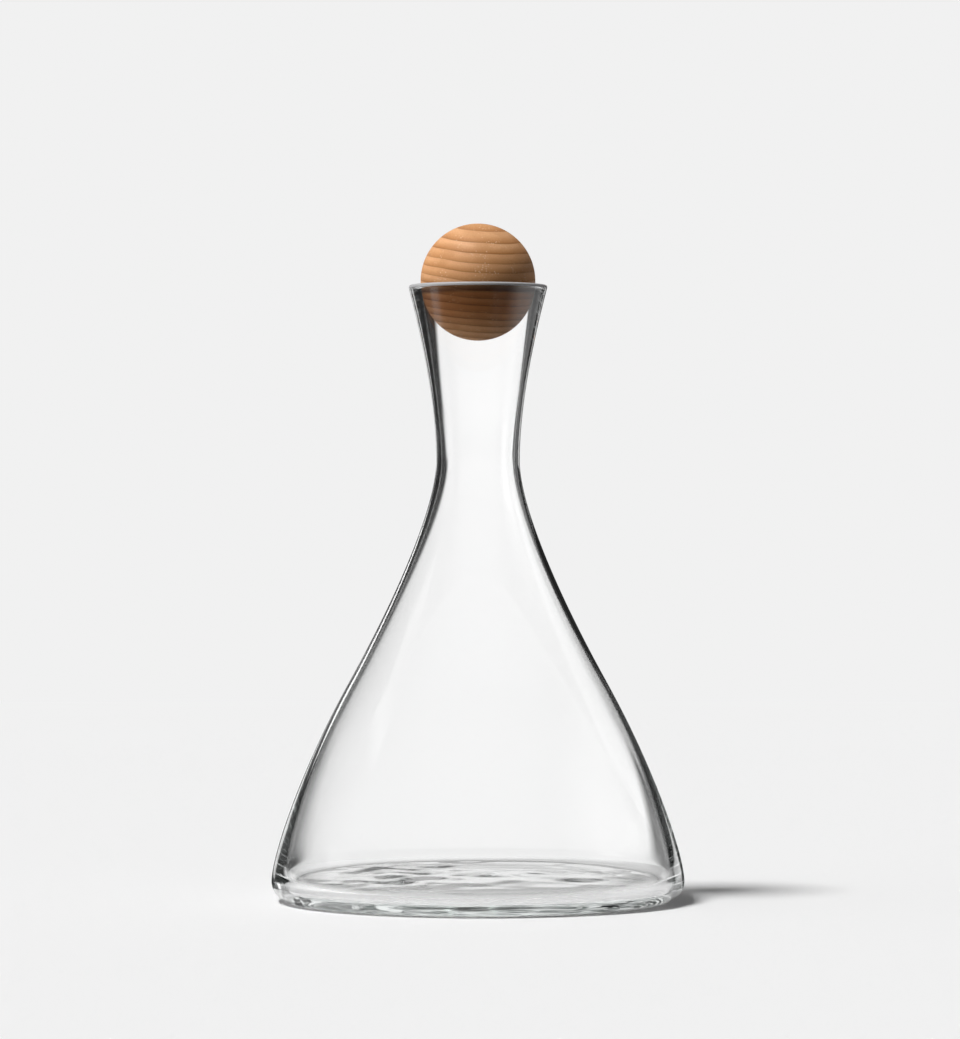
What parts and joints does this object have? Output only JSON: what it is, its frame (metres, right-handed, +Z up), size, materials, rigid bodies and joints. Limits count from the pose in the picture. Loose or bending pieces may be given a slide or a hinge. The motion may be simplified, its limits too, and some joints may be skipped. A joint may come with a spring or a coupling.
{
  "type": "wine carafe",
  "caption": "Clear blown glass wine carafe with a wide conical body, narrow neck and flared mouth, stopped by a loose turned wooden ball.",
  "frame": {"origin": "middle of the foot ring, on the plane that the glass stands on", "axes": "+Z up along the axis of the glass and the ball, -Y towards the viewer of the picture"},
  "size_m": [0.165, 0.165, 0.2708],
  "materials": {
    "clear_glass": "smooth blown glass, ground rim",
    "oiled_wood": "turned, sanded and oiled, straight grain across"
  },
  "bodies": {
    "carafe": {"glass_body": "clear_glass"},
    "stopper": {"ball_stopper": "oiled_wood"}
  },
  "joints": [
    {"name": "stopper_lift", "type": "slide", "parent": "carafe", "child": "stopper", "axis": [0, 0, 1], "range_m": [0, 0.06]}
  ]
}
